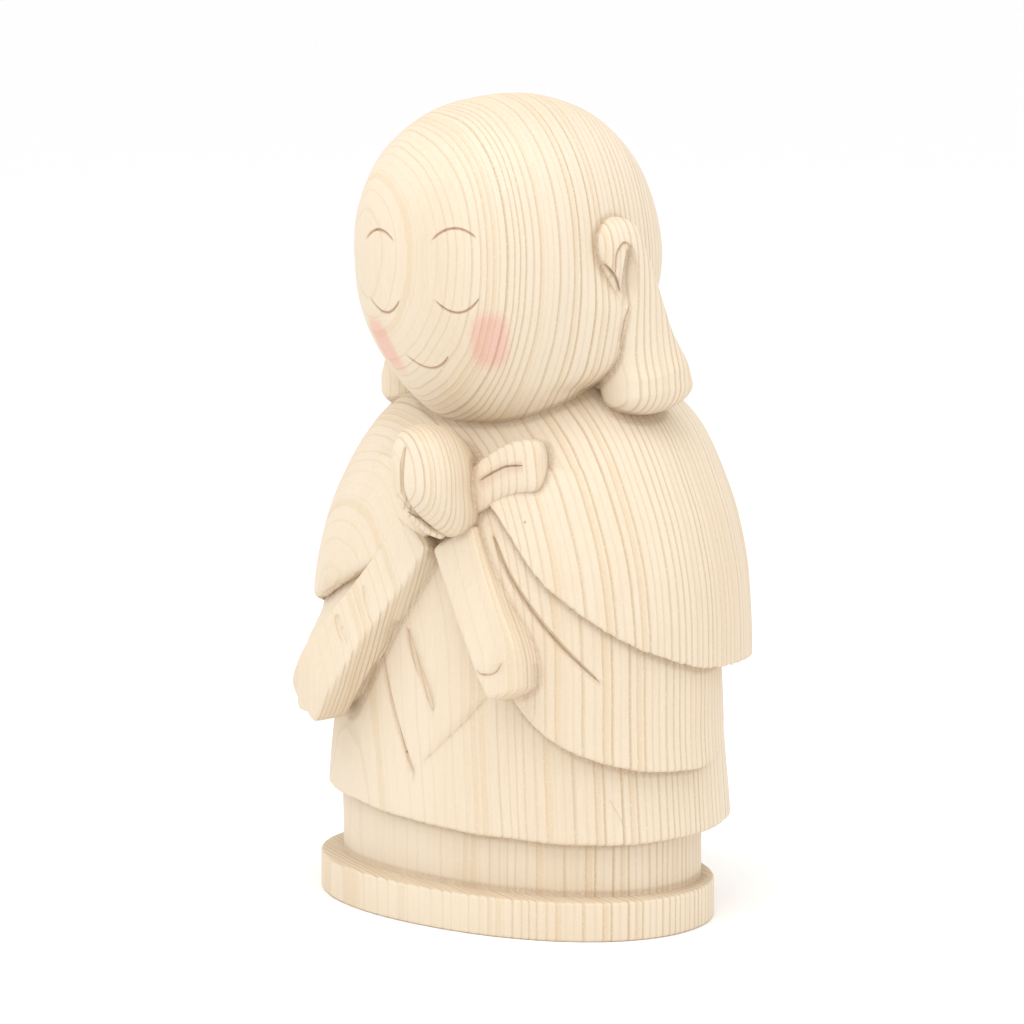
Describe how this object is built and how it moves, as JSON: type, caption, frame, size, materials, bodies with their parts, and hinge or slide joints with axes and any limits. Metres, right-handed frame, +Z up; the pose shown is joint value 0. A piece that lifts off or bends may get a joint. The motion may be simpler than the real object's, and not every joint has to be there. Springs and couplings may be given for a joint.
{
  "type": "carved wooden jizo statue",
  "caption": "Small standing jizo figure carved from one block of softwood, palms together, in layered robes on a low oval foot; it stands by its own weight.",
  "frame": {"origin": "middle of the oval underside, on the surface it stands on", "axes": "+Z up; the figure faces -Y and its own left hand side is +X"},
  "size_m": [0.1088, 0.0858, 0.1799],
  "materials": {
    "softwood": "bare planed and carved softwood with straight growth rings, matt, unvarnished"
  },
  "bodies": {
    "root": {"jizo_statue": "softwood"}
  },
  "joints": []
}
